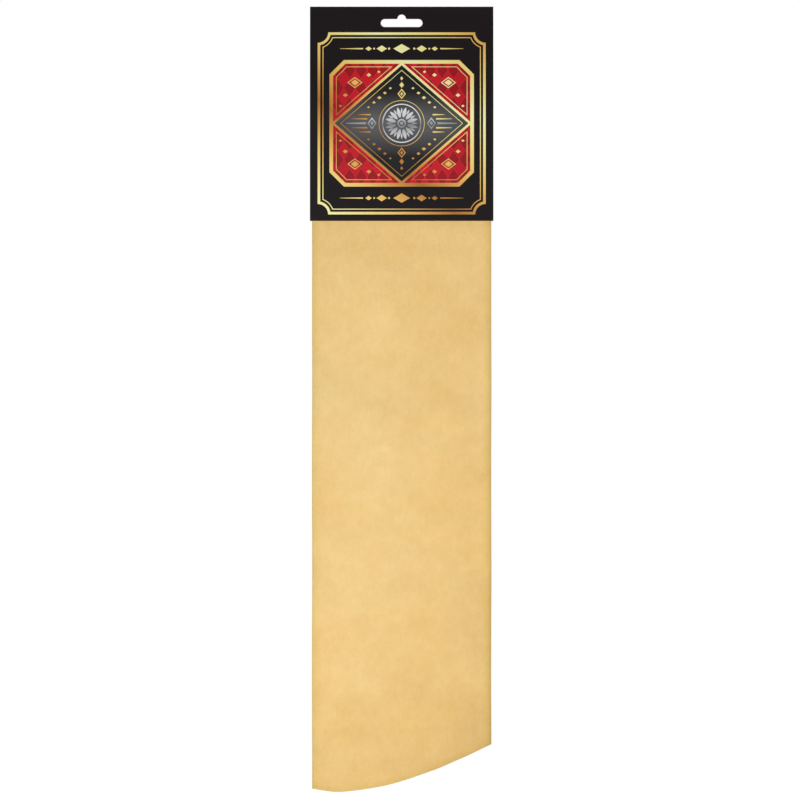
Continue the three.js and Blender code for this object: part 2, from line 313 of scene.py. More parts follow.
def chamois_material():
    m, n = material("chamois_suede")
    sheet = n.attribute("sheet").outputs["Vector"]
    brushed = n.vec("MULTIPLY", sheet, (1.0, 0.6, 1.0))
    drift = n.noise(n.vec("ADD", sheet, (16.7, 27.6, 27.8)), 5, 2, 0.5, 0.3)
    drift2 = n.noise(n.vec("ADD", sheet, (7.2, 9.9, 1.9)), 5, 2, 0.5, 0.3)
    cloud = n.noise(n.vec("ADD", sheet, (26.2, 11.4, 13.4)), 9, 3, 0.6, 0.3)
    cloud2 = n.noise(n.vec("ADD", sheet, (26.6, 26.5, 2.2)), 17, 3, 0.6, 0.4)
    mottle = n.noise(n.vec("ADD", sheet, (9.2, 2.4, 5.3)), 62, 3, 0.55, 0.6)
    mottle2 = n.noise(n.vec("ADD", sheet, (21.8, 4.6, 12.9)), 54, 3, 0.55, 0.6)
    fine = n.noise(brushed, 240, 3, 0.6, 0.4)
    grain = n.noise(n.vec("ADD", brushed, (4.4, 1.2, 0.0)), 640, 2, 0.6, 0.3)
    nap = n.noise(brushed, 1700, 3, 0.7, 0.3)
    pits = n.new("ShaderNodeTexVoronoi", Vector=n.vec("ADD", sheet, (0.3, 0.9, 0.0)), Scale=620.0)
    pits.distance = "EUCLIDEAN"
    pit = n.math("SUBTRACT", 1.0, n.math("MULTIPLY", pits.outputs["Distance"], 2.2, clamp=True))

    # the skin is paler along a line a little left of its middle, and warmer and darker out to the sides and towards its
    # two ends: partly the skin's own tone, partly painted shade where the light falls off at the sides and ends
    part = n.tree.nodes.new("ShaderNodeSeparateXYZ")
    n.put(part.inputs[0], sheet)
    flank_tone_and_shade = n.math("DIVIDE", n.math("ABSOLUTE", n.math("SUBTRACT", part.outputs[0], 0.315)), 0.24)
    flank_tone_and_shade = n.math("MINIMUM", n.math("POWER", flank_tone_and_shade, 1.5), 0.85)
    hue = n.math("MULTIPLY_ADD", drift2, 1.12, -0.91)
    hue = n.math("MULTIPLY_ADD", n.math("SUBTRACT", cloud2, 0.5), 1.05, n.math("ADD", hue, 0.325))
    hue = n.math("MULTIPLY_ADD", flank_tone_and_shade, 0.64, hue)
    hue = n.math("MULTIPLY_ADD", n.math("ABSOLUTE", part.outputs[1]), 0.66, hue)
    hue = n.math("MULTIPLY_ADD", n.math("SUBTRACT", mottle2, 0.5), -0.95, hue)
    hue = n.math("MULTIPLY_ADD", n.math("SUBTRACT", mottle, 0.5), -0.25, hue)
    hue = n.math("MULTIPLY_ADD", n.math("SUBTRACT", fine, 0.5), -0.45, hue)
    hue = n.math("MULTIPLY_ADD", n.math("SUBTRACT", grain, 0.5), -0.4, hue)
    hue = n.math("MULTIPLY", n.math("ADD", hue, 0.5), 1 / 1.8, clamp=True)
    base = n.mix(hue, CHAMOIS_PALE, CHAMOIS_WARM)

    # the broad drift and cloud fields and the darkening to the sides and ends make the leather lighter and darker over
    # large areas: partly the skin's own tone, partly painted shade
    value = n.math("MULTIPLY_ADD", n.math("SUBTRACT", drift, 0.5), 0.25, 0.973)
    value = n.math("MULTIPLY_ADD", n.math("SUBTRACT", cloud, 0.5), 0.20, value)
    value = n.math("MULTIPLY_ADD", flank_tone_and_shade, n.math("MULTIPLY_ADD", n.math("ABSOLUTE", part.outputs[1]), -0.26, -0.14), value)
    value = n.math("MULTIPLY_ADD", n.math("SUBTRACT", mottle, 0.5), 0.085, value)
    value = n.math("MULTIPLY_ADD", n.math("SUBTRACT", fine, 0.5), 0.066, value)
    value = n.math("MULTIPLY_ADD", n.math("SUBTRACT", grain, 0.5), 0.045, value)
    value = n.math("MULTIPLY_ADD", n.math("SUBTRACT", nap, 0.5), 0.11, value)
    value = n.math("MULTIPLY_ADD", pit, -0.02, value)
    base = n.mix(1.0, base, n.grey(value), "MULTIPLY")

    # darker at the folds and along the cut edges: partly the nap pressed at the folds and the firmer cut edge, partly
    # painted shade where the leather turns away round its folds and cut edges
    def tone_and_painted_shade(weight, colour, amount=1.0):
        nonlocal base
        wobble = n.math("MULTIPLY_ADD", mottle, 0.7 * amount, 0.65 * amount)
        base = n.mix(n.math("MULTIPLY", n.attribute(weight).outputs["Fac"], wobble, clamp=True), base, n.mix(1.0, base, colour, "MULTIPLY"))

    tone_and_painted_shade("fold_wide", (0.955, 0.948, 0.82, 1))
    tone_and_painted_shade("fold_near", (0.87, 0.91, 0.96, 1))
    tone_and_painted_shade("cut_wide", (0.99, 0.97, 0.875, 1))
    tone_and_painted_shade("cut_near", (0.91, 0.95, 1.0, 1))

    height = n.math("MULTIPLY", mottle, 0.55)
    height = n.math("MULTIPLY_ADD", fine, 0.50, height)
    height = n.math("MULTIPLY_ADD", grain, 0.30, height)
    height = n.math("MULTIPLY_ADD", nap, 0.42, height)
    height = n.math("MULTIPLY_ADD", pit, -0.10, height)
    normal = n.bump(height, 0.5, 0.00035)
    rough = n.math("MULTIPLY_ADD", fine, 0.12, 0.86)
    n.surface(base, rough, normal, Specular_IOR_Level=0.12, Sheen_Weight=0.10, Sheen_Roughness=0.45, Sheen_Tint=srgb(250, 232, 196))
    return m


def board_material():
    """The printed, coated outside of the board: black."""
    m, n = material("card_black_print")
    at = n.attribute("print").outputs["Vector"]
    tone = n.noise(at, 26, 3, 0.55)
    fibre = n.noise(at, 900, 3, 0.6)
    base = n.mix(tone, (0.0091, 0.0062, 0.0070, 1), (0.0105, 0.0074, 0.0082, 1))
    wear = n.attribute("wear").outputs["Fac"]
    broken = n.noise(n.vec("MULTIPLY", at, (1.0, 0.45, 1.0)), 1500, 4, 0.75)
    broken = n.math("MULTIPLY", n.math("SUBTRACT", broken, 0.46), 3.2, clamp=True)
    base = n.mix(n.math("MULTIPLY", wear, broken), base, (0.16, 0.155, 0.15, 1))
    rough = n.math("MULTIPLY_ADD", tone, 0.10, 0.36)
    normal = n.bump(fibre, 0.10, 0.00004)
    n.surface(base, rough, normal, Specular_IOR_Level=0.15)
    return m


def paper_material():
    """The bare board: its inside face and its cut edge."""
    m, n = material("card_bare_board")
    at = n.attribute("print").outputs["Vector"]
    cloud = n.noise(at, 45, 3, 0.6)
    fibre = n.noise(n.vec("MULTIPLY", at, (1.0, 0.3, 1.0)), 850, 4, 0.7)
    speck = n.noise(n.vec("ADD", at, (1.7, 4.2, 0.0)), 420, 2, 0.5)
    base = n.mix(cloud, srgb(214, 209, 199), srgb(226, 222, 213))
    base = n.mix(n.math("MULTIPLY", n.math("SUBTRACT", fibre, 0.5), 1.2, clamp=True), base, srgb(196, 189, 176))
    base = n.mix(n.math("MULTIPLY", n.math("SUBTRACT", speck, 0.66), 5.0, clamp=True), base, srgb(150, 141, 126))
    normal = n.bump(fibre, 0.25, 0.00006)
    n.surface(base, 0.88, normal, Specular_IOR_Level=0.3)
    return m


def red_material():
    """Red print with a harlequin of lighter and darker lozenges."""
    m, n = material("card_red_print")
    at = n.attribute("print").outputs["Vector"]
    s = n.tree.nodes.new("ShaderNodeSeparateXYZ")
    n.put(s.inputs[0], at)
    u = n.math("DIVIDE", s.outputs[0], 0.0088)
    v = n.math("DIVIDE", n.math("ADD", s.outputs[1], 0.0833), 0.0136)
    a = n.math("ADD", u, v)
    b = n.math("SUBTRACT", u, v)
    fa = n.math("FRACT", n.math("MULTIPLY", n.math("ADD", n.math("FLOOR", a), n.math("FLOOR", b)), 0.5))
    pick = n.math("MULTIPLY", fa, 2.0)  # 0 or 1 by turns
    # a fine paler line between the lozenges, and a shade inside each
    da = n.math("ABSOLUTE", n.math("SUBTRACT", n.math("FRACT", a), 0.5))
    db = n.math("ABSOLUTE", n.math("SUBTRACT", n.math("FRACT", b), 0.5))
    rim = n.math("MAXIMUM", da, db)
    line = n.math("MULTIPLY", n.math("SUBTRACT", rim, 0.462), 60.0, clamp=True)
    shade = n.math("MULTIPLY", rim, 0.55)
    dark = n.mix(shade, srgb(166, 15, 29), srgb(140, 11, 23))
    light = n.mix(shade, srgb(212, 21, 42), srgb(188, 17, 35))
    base = n.mix(pick, dark, light)
    base = n.mix(n.math("MULTIPLY", line, 0.55), base, srgb(222, 60, 62))
    # deeper towards the sides
    side = n.math("POWER", n.math("DIVIDE", n.math("ABSOLUTE", s.outputs[0]), 0.056), 2.2)
    base = n.mix(n.math("MULTIPLY", side, 0.42), base, srgb(112, 8, 20))
    fibre = n.noise(at, 900, 3, 0.6)
    normal = n.bump(fibre, 0.08, 0.00004)
    n.surface(base, 0.40, normal, Specular_IOR_Level=0.22)
    return m


def graphite_material():
    """The grey field: dark at top and bottom, lighter across the middle."""
    m, n = material("card_graphite_print")
    at = n.attribute("print").outputs["Vector"]
    s = n.tree.nodes.new("ShaderNodeSeparateXYZ")
    n.put(s.inputs[0], at)
    t = n.math("DIVIDE", n.math("SUBTRACT", -0.0376, s.outputs[1]), 0.0908)
    base = n.ramp(t, [
        (0.0, srgb(19, 19, 20)),
        (0.24, srgb(30, 30, 31)),
        (0.46, srgb(94, 94, 95)),
        (0.56, srgb(90, 90, 91)),
        (0.78, srgb(28, 28, 29)),
        (1.0, srgb(20, 20, 21)),
    ])
    side = n.math("POWER", n.math("DIVIDE", n.math("ABSOLUTE", s.outputs[0]), 0.053), 3.0)
    base = n.mix(n.math("MULTIPLY", side, 0.62), base, srgb(24, 24, 25))
    brushed = n.noise(n.vec("MULTIPLY", at, (0.06, 1.0, 1.0)), 1100, 2, 0.5)
    base = n.mix(1.0, base, n.grey(n.math("MULTIPLY_ADD", n.math("SUBTRACT", brushed, 0.5), 0.22, 1.0)), "MULTIPLY")
    n.surface(base, 0.36, None, Specular_IOR_Level=0.24)
    return m


def gold_material():
    """Gold ink that runs from bronze to pale yellow and back."""
    m, n = material("card_gold_print")
    at = n.attribute("print").outputs["Vector"]
    s = n.tree.nodes.new("ShaderNodeSeparateXYZ")
    n.put(s.inputs[0], at)
    t = n.math("MULTIPLY_ADD", s.outputs[0], 9.5, n.math("MULTIPLY", s.outputs[1], 11.5))
    t = n.math("PINGPONG", n.math("ADD", t, 3.35), 1.0)
    base = n.ramp(t, [
        (0.0, srgb(176, 114, 46)),
        (0.18, srgb(212, 152, 70)),
        (0.42, srgb(244, 200, 106)),
        (0.70, srgb(252, 232, 142)),
        (1.0, srgb(254, 250, 184)),
    ])
    grain = n.noise(at, 1300, 2, 0.5)
    base = n.mix(1.0, base, n.grey(n.math("MULTIPLY_ADD", n.math("SUBTRACT", grain, 0.5), 0.10, 1.0)), "MULTIPLY")
    n.surface(base, 0.34, None, Metallic=0.2, Specular_IOR_Level=0.4)
    return m


def silver_material():
    m, n = material("card_silver_print")
    at = n.attribute("print").outputs["Vector"]
    s = n.tree.nodes.new("ShaderNodeSeparateXYZ")
    n.put(s.inputs[0], at)
    t = n.math("DIVIDE", n.math("SUBTRACT", -0.0690, s.outputs[1]), 0.0280)
    base = n.ramp(t, [
        (0.0, srgb(236, 237, 238)),
        (0.38, srgb(206, 207, 209)),
        (0.55, srgb(132, 133, 136)),
        (0.72, srgb(188, 189, 192)),
        (1.0, srgb(232, 233, 235)),
    ])
    grain = n.noise(at, 1300, 2, 0.5)
    base = n.mix(1.0, base, n.grey(n.math("MULTIPLY_ADD", n.math("SUBTRACT", grain, 0.5), 0.08, 1.0)), "MULTIPLY")
    n.surface(base, 0.36, None, Metallic=0.15, Specular_IOR_Level=0.4)
    return m


def steel_material():
    m, n = material("staple_steel")
    at = n.attribute("along").outputs["Vector"]
    drawn = n.noise(n.vec("MULTIPLY", at, (0.04, 1.0, 1.0)), 5200, 3, 0.6)
    cloud = n.noise(at, 380, 3, 0.6)
    base = n.mix(cloud, srgb(178, 180, 184), srgb(206, 208, 211))
    rough = n.math("MULTIPLY_ADD", drawn, 0.18, 0.24)
    normal = n.bump(drawn, 0.25, 0.00002)
    n.surface(base, rough, normal, Metallic=1.0)
    return m


CHAMOIS_PALE = (0.9422, 0.6939, 0.3181, 1)
CHAMOIS_WARM = (0.8376, 0.5161, 0.1618, 1)

chamois = chamois_material()
board_black = board_material()
board_bare = paper_material()
ink_red = red_material()
ink_graphite = graphite_material()
ink_gold = gold_material()
ink_silver = silver_material()
steel = steel_material()


# ---------------------------------------------------------------- the skin


def graded(a, b, fine, coarse, grow=1.35):
    """Places from a to b, close together at both ends and further apart between."""
    length = abs(b - a)
    steps = [fine]
    while sum(steps) * 2 < length and steps[-1] < coarse:
        steps.append(min(steps[-1] * grow, coarse))
    ends = np.cumsum([0, *steps])
    ends = ends[ends < length * 0.48]
    middle = length - 2 * ends[-1]
    count = max(1, round(middle / coarse))
    inner = ends[-1] + middle * np.arange(1, count) / count
    out = np.concatenate([ends, inner, (length - ends)[::-1]])
    return a + (b - a) * out / length


def skin_columns():
    """The folded section as columns of the mesh: place across the strip, depth in the four layers, place on the flat skin, and the two lower edges there."""
    xs, us, ss, front, back = [], [], [], [], []

    def add(x, u, s, low, low2, skip):
        xs.extend(x[skip:]), us.extend(u[skip:]), ss.extend(s[skip:]), front.extend(low[skip:]), back.extend(low2[skip:])

    s0 = 0.0
    half, big = PITCH / 2, 1.5 * PITCH

    def flat(a, b, u, edge, edge2, skip):
        nonlocal s0
        x = graded(a, b, 1.0, 3.4)
        add(x, np.full(len(x), u), s0 + np.abs(x - a), catmull(edge, x), catmull(edge2, x), skip)
        s0 += abs(b - a)

    def fold(cx, cu, r, a0, a1, steps, ends, ends2, skip=1):
        nonlocal s0
        t = np.linspace(0, 1, steps + 1)
        a = np.radians(a0 + (a1 - a0) * t)
        add(cx + r * np.cos(a), cu + r * np.sin(a), s0 + r * math.pi * t, ends[0] + (ends[1] - ends[0]) * t, ends2[0] + (ends2[1] - ends2[0]) * t, skip)
        s0 += math.pi * r

    def at(edge, x):
        return float(catmull(edge, x))

    flat(FREE_X, SMALL_FOLD_X, -half, EDGE_A, EDGE_A2, 0)
    fold(SMALL_FOLD_X, -PITCH, half, 90, -90, 10, (at(EDGE_A, SMALL_FOLD_X), at(EDGE_B, SMALL_FOLD_X)), (at(EDGE_A2, SMALL_FOLD_X), at(EDGE_B2, SMALL_FOLD_X)))
    first = s0 - math.pi * half / 2
    flat(SMALL_FOLD_X, BIG_FOLD_X, -big, EDGE_B, EDGE_B2, 1)
    fold(BIG_FOLD_X, 0, big, -90, -270, 16, (at(EDGE_B, BIG_FOLD_X), at(EDGE_C, BIG_FOLD_X)), (at(EDGE_B2, BIG_FOLD_X), at(EDGE_C2, BIG_FOLD_X)))
    second = s0 - math.pi * big / 2
    flat(BIG_FOLD_X, SMALL_FOLD_X, big, EDGE_C, EDGE_C2, 1)
    fold(SMALL_FOLD_X, PITCH, half, 90, -90, 10, (at(EDGE_C, SMALL_FOLD_X), at(EDGE_D, SMALL_FOLD_X)), (at(EDGE_C2, SMALL_FOLD_X), at(EDGE_D2, SMALL_FOLD_X)))
    third = s0 - math.pi * half / 2
    flat(SMALL_FOLD_X, FREE_X, half, EDGE_D, EDGE_D2, 1)
    return tuple(np.array(v, float) for v in (xs, us, ss, front, back)) + ((first, second, third),)


def skin_rows(col_u, low, low2):
    """The mesh's rows from the back half's lower edge over the crosswise fold to the front half's lower edge.
    Gives y, z and the place along the flat skin for each row and column, and the number of the seam's row."""
    ends = np.array([6.5, 4.6, 3.2, 2.1, 1.2, 0.5, 0.0])  # distances from the cut edge
    near = [*np.arange(SEAM_Z, -152, 1.5), *np.arange(-151.5, -118, 3.4), *np.arange(-117.5, -106, 1.15), *np.arange(-105.0, -76, 3.4), FOLD_CENTRE_Z]
    near = np.array(near)
    below = np.array([*np.arange(-176.0, FREE_Z, -1.6)])
    ys, zs, vs = [], [], []
    path = FOLD_BEND * math.pi / 2

    def leg(z, back):
        ys.append((BACK_MID + col_u) if back else (FRONT_MID - col_u))
        zs.append(z)
        vs.append((path + FOLD_CENTRE_Z - z) * (-1 if back else 1))

    def lower(low, back, count):
        rows = []
        stop = low + ends[0]
        for k in range(1, count + 1):
            f = k / count
            rows.append(FREE_Z + (stop - FREE_Z) * f)
        for e in ends[1:]:
            rows.append(low + e)
        if back:
            rows.reverse()
        for z in rows:
            leg(z, back)

    count = 100
    lower(low2, True, count)
    leg(np.full_like(col_u, FREE_Z), True)
    for z in below[::-1]:
        leg(np.full_like(col_u, z), True)
    for z in near:
        leg(np.full_like(col_u, z), True)
    steps = 14
    for k in range(1, steps):
        a = math.pi * k / steps
        ys.append(STACK_MID + (FOLD_BEND + col_u) * math.cos(a))
        zs.append(FOLD_CENTRE_Z + (FOLD_BEND + col_u) * math.sin(a))
        vs.append(np.full_like(col_u, FOLD_BEND * (a - math.pi / 2)))
    for z in near[::-1]:
        leg(np.full_like(col_u, z), False)
    seam = len(ys) - 1
    for z in below:
        leg(np.full_like(col_u, z), False)
    leg(np.full_like(col_u, FREE_Z), False)
    lower(low, False, count)
    return np.array(ys), np.array(zs), np.array(vs), seam


swell = Waves(11, 14, 110, 330)
ripple = Waves(23, 26, 26, 90)
dimples = Waves(5, 40, 9, 26)
wander = Waves(37, 10, 120, 400)
cut_wander = Waves(41, 12, 14, 60)


def hang(x, y, z, s, v):
    """How soft leather departs from the flat stack: it stands a little fuller at its folds and towards its free end, and waves slightly."""
    free = smoothstep(-188, -285, z)
    low = smoothstep(-200, -600, z)
    left = np.exp(-(((x - (STRIP_LEFT + 3.5)) / 5.0) ** 2))
    right = np.exp(-(((x - (STRIP_RIGHT - 3.0)) / 4.5) ** 2))
    full = 1 + free * (0.10 * left + 0.13 * right) + 0.17 * low
    full = full + free * (0.02 + 0.05 * ripple(x * 0.8, z))
    depth = (BACK_Y - y) / 9.3  # 0 at the back face, 1 at the front face
    out_y = BACK_Y + (y - BACK_Y) * full
    out_y = out_y + free * (0.62 * swell(x * 0.7, z) + 0.16 * ripple(x, z) - 0.95)
    # each layer has small waves of its own, flatter on the layers between others
    outer = smoothstep(0.80, 0.98, depth)
    inner = smoothstep(0.20, 0.02, depth)
    out_y = out_y + (0.025 + 0.030 * (outer + inner)) * free * dimples(s, v)
    # the outermost layers stand off a little at their cut edge
    flare = np.exp((catmull(EDGE_C, x) - z) / 22.0) * (0.9 + 0.32 * np.sin(x / 21.0 + 0.5))
    out_y = out_y - outer * flare * free
    flare = np.exp((catmull(EDGE_C2, x) - z) / 20.0) * (0.55 + 0.35 * np.sin(x / 26.0 + 2.1))
    out_y = out_y + inner * np.minimum(flare, 1.5) * free
    # the staples pinch the stack
    pinch = 0.0
    for sx in (-STAPLE_X, STAPLE_X):
        pinch = pinch + np.exp(-(((x - sx) / 7.6) ** 6) - ((z - STAPLE_Z) / 3.3) ** 2)
    out_y = STACK_MID + (out_y - STACK_MID) * (1 - 0.105 * pinch)
    # the soft folds end a fifth of a millimetre inside the flat stack's
    out_x = 0.045 + (x - 0.1) * 0.99686 + free * 0.07 * wander(0 * x, z) * np.ones_like(x)
    return out_x, out_y, z


def rim_outward(normal, along):
    out = np.cross(along, normal)
    return out / np.maximum(np.linalg.norm(out, axis=-1, keepdims=True), 1e-9)


def skin_piece(name, P, N, T, sheet, fold, cut, seam_first, seam_last):
    """One closed mesh of the skin: both faces and a rounded rim. seam_first and seam_last say which end is a seam, where the rim is a flat cap."""
    rows, cols = P.shape[:2]
    count = rows * cols
    index = np.arange(count).reshape(rows, cols)
    half = T[..., None] / 2
    plus, minus = P + N * half, P - N * half
    q = np.stack([index[:-1, :-1], index[:-1, 1:], index[1:, 1:], index[1:, :-1]], -1).reshape(-1, 4)
    a = plus[0, 0], plus[0, 1], plus[1, 0]
    if np.dot(np.cross(a[1] - a[0], a[2] - a[0]), N[0, 0]) < 0:
        q = q[:, ::-1]
    ring = [(0, j) for j in range(cols)] + [(i, cols - 1) for i in range(1, rows)] + [(rows - 1, j) for j in range(cols - 2, -1, -1)] + [(i, 0) for i in range(rows - 2, 0, -1)]
    ri, rj = np.array(ring).T
    # outward directions at the rim, in the skin's own surface
    d_row = np.gradient(P, axis=0)
    d_col = np.gradient(P, axis=1)
    d_row /= np.linalg.norm(d_row, axis=-1, keepdims=True)
    d_col /= np.linalg.norm(d_col, axis=-1, keepdims=True)
    out = np.zeros((len(ring), 3))
    flat_out = np.zeros((len(ring), 2))
    for k, (i, j) in enumerate(ring):
        if i == 0:
            flat_out[k, 1] -= 1
            if not seam_first:
                out[k] -= d_row[i, j]
        if i == rows - 1:
            flat_out[k, 1] += 1
            if not seam_last:
                out[k] += d_row[i, j]
        if j == 0:
            flat_out[k, 0] -= 1
            out[k] -= d_col[i, j]
        if j == cols - 1:
            flat_out[k, 0] += 1
            out[k] += d_col[i, j]
    length = np.linalg.norm(out, axis=1, keepdims=True)
    out = np.where(length > 0, out / np.maximum(length, 1e-9), 0)
    base, normal, thick = P[ri, rj], N[ri, rj], T[ri, rj][:, None] / 2
    turns = (45, 90, 135)
    rings = [base + normal * thick * math.cos(math.radians(t)) + out * thick * 0.85 * math.sin(math.radians(t)) for t in turns]
    points = np.concatenate([plus.reshape(-1, 3), minus.reshape(-1, 3), *rings])
    n = len(ring)
    lines = [index[ri, rj], 2 * count + np.arange(n), 2 * count + n + np.arange(n), 2 * count + 2 * n + np.arange(n), count + index[ri, rj]]
    faces = [q, (q + count)[:, ::-1]]
    # the rim's direction follows the way the plus face is wound
    k = 0
    e0, e1 = int(lines[0][0]), int(lines[0][1])
    first = q[0]
    forward = any(first[m] == e0 and first[(m + 1) % 4] == e1 for m in range(4))
    for upper, lower in zip(lines[:-1], lines[1:]):
        u1, l1 = np.roll(upper, -1), np.roll(lower, -1)
        face = np.stack([u1, upper, lower, l1], -1) if forward else np.stack([upper, u1, l1, lower], -1)
        faces.append(face)
    faces = np.concatenate(faces)
    o = make_object(name, points, faces, chamois)

    # attributes: place on the flat skin, nearness to a fold, nearness to a cut edge
    s3 = np.concatenate([
        np.concatenate([sheet.reshape(-1, 2), np.full((count, 1), 0.45)], 1),
        np.concatenate([sheet.reshape(-1, 2), np.full((count, 1), -0.45)], 1),
        *[np.concatenate([sheet[ri, rj] + flat_out * 0.4 * math.sin(math.radians(t)), np.full((n, 1), 0.45 * math.cos(math.radians(t)))], 1) for t in turns],
    ])
    point_vectors(o, "sheet", s3 * MM)
    # nearness to a fold and to a cut edge, which sets the leather's darker tone there: partly the leather's own, partly
    # painted shade
    for key, far in (("fold", fold), ("cut", cut)):
        every = np.concatenate([far.ravel(), far.ravel(), *[far[ri, rj]] * 3])
        point_values(o, key + "_near", np.exp(-((every / 2.5) ** 2)))
        point_values(o, key + "_wide", np.exp(-((every / 5.3) ** 4)))

    # sharp corners round a seam's cap
    if seam_first or seam_last:
        mesh = o.data
        sharp = np.zeros(len(mesh.edges), bool)
        ends = np.zeros(len(mesh.edges) * 2, np.int32)
        mesh.edges.foreach_get("vertices", ends)
        ends = ends.reshape(-1, 2)
        for row, on in ((0, seam_first), (rows - 1, seam_last)):
            if on:
                for offset in (0, count):
                    marked = np.zeros(len(points), bool)
                    marked[offset + index[row]] = True
                    sharp |= marked[ends].all(1)
        mesh.attributes.new("sharp_edge", "BOOLEAN", "EDGE").data.foreach_set("value", sharp)

    # a flat map of both faces
    uv = np.zeros((len(points), 2))
    lo, hi = sheet.reshape(-1, 2).min(0), sheet.reshape(-1, 2).max(0)
    margin = 3.0
    size = max((hi[0] - lo[0]) * 2 + 4 * margin, hi[1] - lo[1] + 2 * margin)
    flat = sheet.reshape(-1, 2) - lo
    uv[:count] = flat + margin
    uv[count : 2 * count] = flat + (3 * margin + hi[0] - lo[0], margin)
    for m in range(3):
        uv[2 * count + m * n : 2 * count + (m + 1) * n] = sheet[ri, rj] - lo + margin + flat_out * 0.4 * (m + 1)
    loops = np.zeros(len(o.data.loops), np.int32)
    o.data.loops.foreach_get("vertex_index", loops)
    corner = uv[loops]
    # the last strip of the rim lies beside the plus face too
    poly_start = len(q) * 2 + 3 * n
    starts = poly_start * 4
    tail = loops[starts:]
    own = tail >= 2 * count
    place = {int(v): k for k, v in enumerate(lines[4])}
    moved = corner[starts:].copy()
    for c, v in enumerate(tail):
        if not own[c]:
            k = place[int(v)]
            moved[c] = sheet[ri[k], rj[k]] - lo + margin + flat_out[k] * 0.4 * 4
    corner[starts:] = moved
    o.data.uv_layers.new(name="OFBake").data.foreach_set("uv", (corner / size).astype(np.float32).ravel())
    return o


def build_skin():
    x, u, s, low, low2, folds = skin_columns()
    low = low + 0.16 * cut_wander(s, 0 * s) + 0.12 - 0.0068 * x
    low2 = low2 + 0.16 * cut_wander(s, 0 * s + 300)
    y, z, v, seam = skin_rows(u, low, low2)
    X = np.broadcast_to(x, y.shape).copy()
    S = np.broadcast_to(s, y.shape).copy()
    # the long free edges aren't quite straight
    ends = np.minimum(S, S[0, -1] - S)
    X = X + np.exp(-ends / 6.0) * 0.5 * cut_wander(v, 0 * v + 90)
    hx, hy, hz = hang(X, y, z, S, v)
    P = np.stack([hx, hy, hz], -1)
    d_row = np.zeros_like(P)
    d_col = np.zeros_like(P)
    d_row[1:-1] = P[2:] - P[:-2]
    d_row[0], d_row[-1] = P[1] - P[0], P[-1] - P[-2]
    d_col[:, 1:-1] = P[:, 2:] - P[:, :-2]
    d_col[:, 0], d_col[:, -1] = P[:, 1] - P[:, 0], P[:, -1] - P[:, -2]
    N = np.cross(d_col, d_row)
    N /= np.linalg.norm(N, axis=-1, keepdims=True)
    # the hide is pressed thinner in its two tight folds
    tight = np.minimum(np.abs(S - folds[0]), np.abs(S - folds[2]))
    T = HIDE * (1 + 0.03 * ripple(S + 40, v)) * (1 - 0.13 * np.exp(-((tight / 1.2) ** 4)))
    # how far each point is from a fold line, and from a cut edge
    fold = np.minimum.reduce([np.abs(S - f) for f in folds] + [np.abs(v) * 0.8 + 1.5])
    from_low = np.where(v > 0, z - low, z - low2)
    cut = np.maximum(np.minimum(from_low, ends), 0)
    sheet = np.stack([S, v], -1)
    parts = []
    for name, a, b, first, last in (("chamois_skin_back", 0, seam + 1, False, True), ("chamois_skin_front", seam, len(y), True, False)):
        k = slice(a, b)
        parts.append(skin_piece(name, P[k], N[k], T[k], sheet[k], fold[k], cut[k], first, last))
    return parts


skin_back, skin_front = build_skin()


# ---------------------------------------------------------------- flat shapes cut from board and ink


def inside(points, loop):
    """Which points lie inside a closed loop."""
    x, y = points[:, 0][:, None], points[:, 1][:, None]
    a, b = loop, np.roll(loop, -1, axis=0)
    crosses = (a[:, 1] > y) != (b[:, 1] > y)
    with np.errstate(divide="ignore", invalid="ignore"):
        at = (b[:, 0] - a[:, 0]) * (y - a[:, 1]) / (b[:, 1] - a[:, 1]) + a[:, 0]
    return (crosses & (x < at)).sum(1) % 2 == 1


def distance(points, loop):
    """How far each point is from a closed loop."""
    a, b = loop, np.roll(loop, -1, axis=0)
    best = np.full(len(points), np.inf)
    for p, q in zip(a, b):
        d = q - p
        t = np.clip(((points - p) @ d) / max(d @ d, 1e-12), 0, 1)
        best = np.minimum(best, np.linalg.norm(points - p - t[:, None] * d, axis=1))
    return best


def dense(loop, step):
    """The loop with no side longer than step."""
    loop = np.asarray(loop, float)
    out = []
    for p, q in zip(loop, np.roll(loop, -1, axis=0)):
        n = max(1, math.ceil(np.linalg.norm(q - p) / step))
        out.extend(p + (q - p) * np.arange(n)[:, None] / n)
    return np.array(out)


def triangulate(loops, inner=None, clear=0.4):
    """Triangles that fill what an odd number of the loops enclose."""
    loops = [np.asarray(l, float) for l in loops]
    points, edges = [], []
    for l in loops:
        n0, n = len(points), len(l)
        points.extend(l.tolist())
        edges.extend((n0 + i, n0 + (i + 1) % n) for i in range(n))
    if inner is not None and len(inner):
        keep = sum(inside(inner, l).astype(int) for l in loops) % 2 == 1
        inner = inner[keep]
        near = np.min([distance(inner, l) for l in loops], axis=0)
        points.extend(inner[near > clear].tolist())
    v, _, f, _, _, _ = delaunay_2d_cdt([Vector(p) for p in points], edges, [], 0, 1e-5)
    v = np.array([tuple(p) for p in v], float)
    f = np.array([t for t in f if len(t) == 3], int)
    c = v[f].mean(1)
    keep = sum(inside(c, l).astype(int) for l in loops) % 2 == 1
    f = f[keep]
    a, b, c = v[f[:, 0]], v[f[:, 1]], v[f[:, 2]]
    area = (b[:, 0] - a[:, 0]) * (c[:, 1] - a[:, 1]) - (b[:, 1] - a[:, 1]) * (c[:, 0] - a[:, 0])
    # points in line on a straight side also give triangles without any width
    f = np.where((area < 0)[:, None], f[:, ::-1], f)[np.abs(area) > 1e-3]
    used, f = np.unique(f, return_inverse=True)
    return v[used], f.reshape(-1, 3)


def grid(x0, x1, y0, y1, dx, dy):
    nx, ny = max(1, round((x1 - x0) / dx)), max(1, round((y1 - y0) / dy))
    gx, gy = np.meshgrid(np.linspace(x0, x1, nx + 1), np.linspace(y0, y1, ny + 1))
    return np.stack([gx.ravel(), gy.ravel()], -1)


